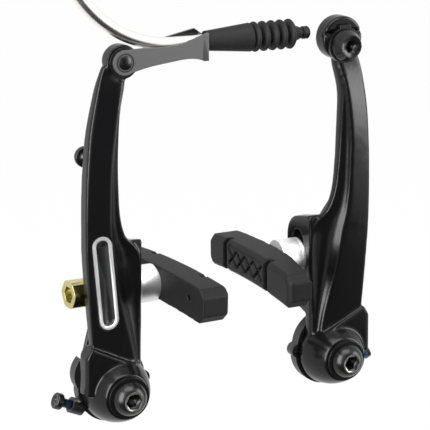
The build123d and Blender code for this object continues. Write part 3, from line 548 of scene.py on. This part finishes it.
satin, tree, shader, place = new_material("satin_plated_sheet")
speck = grain(tree, place, size_mm=0.4, detail=4.0)
roughened(tree, shader, speck, smooth=0.40, rough=0.55)
bumped(tree, shader, strength=0.15, depth_mm=0.05, height=speck, edges=rounded_edges(tree, 0.3))
from_pin = add(tree, "ShaderNodeVectorMath", {"operation": "SUBTRACT"},
               {1: (LINK_PIN_X * MM, 0.0, LINK_PIN_Z * MM)}, {0: place})
flat = add(tree, "ShaderNodeVectorMath", {"operation": "MULTIPLY"}, {1: (1.0, 0.0, 1.0)},
           {0: from_pin.outputs[0]})
radius = add(tree, "ShaderNodeVectorMath", {"operation": "LENGTH"}, links={0: flat.outputs[0]})
# Painted shade: the pressed groove round the pin is shown only as a darker ring of colour.
painted_groove_shade = maths(tree, "COMPARE", radius.outputs["Value"], SHADED_GROOVE_RADIUS * MM, SHADED_GROOVE_HALF * MM)
masked(tree, shader, painted_groove_shade, "#565656", "#242425")
shader.inputs["Metallic"].default_value = 0.6

# Chrome over polished tube: nearly white, with a faint haze.
chrome = plain_finish("polished_chrome_pipe", "#EFEEE8", (8.0, 2.0), smooth=0.24, rough=0.34)

# Slippery plastic liner inside the pipe, milky white.
slippery, tree, shader, place = new_material("white_liner_tube")
two_tone(tree, shader, grain(tree, place, size_mm=3.0, detail=2.0), "#DADADA", "#EEEEEE")
shader.inputs["Roughness"].default_value = 0.4


def centres(mesh):
    """Middle points of the mesh's faces, in millimetres."""
    found = np.empty(3 * len(mesh.polygons))
    mesh.polygons.foreach_get("center", found)
    return found.reshape(-1, 3) / MM


def second_finish(piece, material, chosen):
    """Gives the chosen faces of a piece another material."""
    piece.data.materials.append(material)
    piece.data.polygons.foreach_set("material_index", chosen.astype(np.int32))


# The rear plate of the link is blackened.
LINK_REAR_Y = 8.8

link = dressed("link", satin)
second_finish(link, blackened, centres(link.data)[:, 1] > LINK_REAR_Y)
dressed("link_pin", blackened)
dressed("link_washer", blackened)
dressed("guide_pipe", chrome, PIPE_CREASE)
dressed("pipe_ferrule", chrome)
dressed("pipe_liner", slippery, PIPE_CREASE)

# Boot: a rubber bellows pushed on the pipe's nose to keep water out of it. Its outline is a long
# cone, five folds with sharp valleys and round crests, and a nib round the cable.
BOOT_TAPER = 15.9
BOOT_SMALL = 3.15
BOOT_LARGE = 4.6
BOOT_FOLDS = 5
BOOT_PITCH = 3.15
BOOT_CREST = 4.85
BOOT_VALLEY = 2.8
BOOT_NECK = 1.6
BOOT_NIB = 2.05
BOOT_NIB_LENGTH = 2.5
BOOT_MOUTH = 2.2
BOOT_BORE = 0.9
LIP_BACK = 0.4
LIP_FRONT = 0.1
LIP_DROP = 0.3
NECK_STEP = 0.3
NIB_EDGE = 0.4
FOLD_STEPS = 14
FOLD_SHARPNESS = 1.25
BOOT_SIDES = 72
BOOT_CREASE = 50.0

# Soft black rubber, a little finer than that of the pads.
bellows, tree, shader, place = new_material("moulded_boot_rubber")
grit = grain(tree, place, size_mm=0.5, detail=4.0)
two_tone(tree, shader, grit, "#0C0C0D", "#161617")
bumped(tree, shader, strength=0.3, depth_mm=0.1, height=grit)
shader.inputs["Roughness"].default_value = 0.6
shader.inputs["IOR"].default_value = 1.32


def turned_about_x(name, outline, middle_y, middle_z, sides):
    """Closed outline of (x, radius) points in millimetres, turned about a line along X."""
    outline = np.array(outline)
    around = np.arange(sides) * (2 * math.pi / sides)
    points = np.empty((len(outline), sides, 3))
    points[:, :, 0] = outline[:, :1]
    points[:, :, 1] = middle_y + outline[:, 1:] * np.cos(around)
    points[:, :, 2] = middle_z + outline[:, 1:] * np.sin(around)
    faces = []
    for i in range(len(outline)):
        after = (i + 1) % len(outline)
        for j in range(sides):
            beside = (j + 1) % sides
            faces.append((i * sides + j, i * sides + beside, after * sides + beside, after * sides + j))
    mesh = bpy.data.meshes.new(name)
    mesh.from_pydata((points.reshape(-1, 3) * MM).tolist(), [], faces)
    work = bmesh.new()
    work.from_mesh(mesh)
    bmesh.ops.recalc_face_normals(work, faces=work.faces)
    for face in work.faces:
        face.smooth = True
    work.to_mesh(mesh)
    work.free()
    return mesh


boot_low, boot_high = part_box("cable_boot")
boot_start = boot_low[0] / MM
boot_end = boot_high[0] / MM
folds_start = boot_start + BOOT_TAPER
outline = [(boot_start, BOOT_SMALL), (boot_start + 0.5 * BOOT_TAPER, 0.5 * (BOOT_SMALL + BOOT_LARGE)),
           (folds_start - LIP_BACK, BOOT_LARGE), (folds_start - LIP_FRONT, BOOT_LARGE - LIP_DROP)]
for fold in range(BOOT_FOLDS):
    for step in range(FOLD_STEPS):
        share = step / FOLD_STEPS
        swell = math.sin(math.pi * share) ** FOLD_SHARPNESS
        outline.append((folds_start + (fold + share) * BOOT_PITCH,
                        BOOT_VALLEY + (BOOT_CREST - BOOT_VALLEY) * swell))
neck = boot_end - BOOT_NIB_LENGTH
outline += [(folds_start + BOOT_FOLDS * BOOT_PITCH, BOOT_VALLEY), (neck, BOOT_NECK),
            (neck + NECK_STEP, BOOT_NIB), (boot_end - NIB_EDGE, BOOT_NIB), (boot_end, BOOT_NIB - NIB_EDGE),
            (boot_end, BOOT_BORE), (neck, BOOT_BORE), (folds_start, BOOT_MOUTH), (boot_start, BOOT_MOUTH)]
surface = turned_about_x("cable_boot_surface", outline, (boot_low[1] + boot_high[1]) / (2 * MM),
                         (boot_low[2] + boot_high[2]) / (2 * MM), BOOT_SIDES)
surface.set_sharp_from_angle(angle=math.radians(BOOT_CREASE))
boot = shown_as("cable_boot", surface, bellows)
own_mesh(boot)

# Cable clamp on the right arm: a black steel bolt with a cone head, screwed into the drum
# over a notched washer that would pinch the cable.
dressed("cable_clamp_bolt", blackened, MACHINED_CREASE)
dressed("cable_clamp_washer", blackened, MACHINED_CREASE)

# Badge: a stamped aluminium trim plate glued into a shallow pocket on the left arm's face,
# its field painted black inside a bare silver rim.
FIELD_DROP = 0.12
FRONT_FACING = 0.9

# Stamped aluminium, bright but not polished, and stoved black enamel.
silvered = plain_finish("stamped_silver_trim", "#D2D2D2", (0.3, 3.0), smooth=0.38, rough=0.5, metallic=0.85)
enamel = plain_finish("black_enamel_field", "#0C0C0D", (0.4, 3.0), smooth=0.30, rough=0.42, metallic=0.0)

trim = dressed("badge", silvered)
normals = np.empty(3 * len(trim.data.polygons))
trim.data.polygons.foreach_get("normal", normals)
normals = normals.reshape(-1, 3)
facing = normals[normals[:, 1] < -FRONT_FACING].mean(axis=0)
facing /= np.linalg.norm(facing)
height = centres(trim.data) @ facing
field = (normals @ facing > FRONT_FACING) & (height < height.max() - FIELD_DROP)
second_finish(trim, enamel, field)
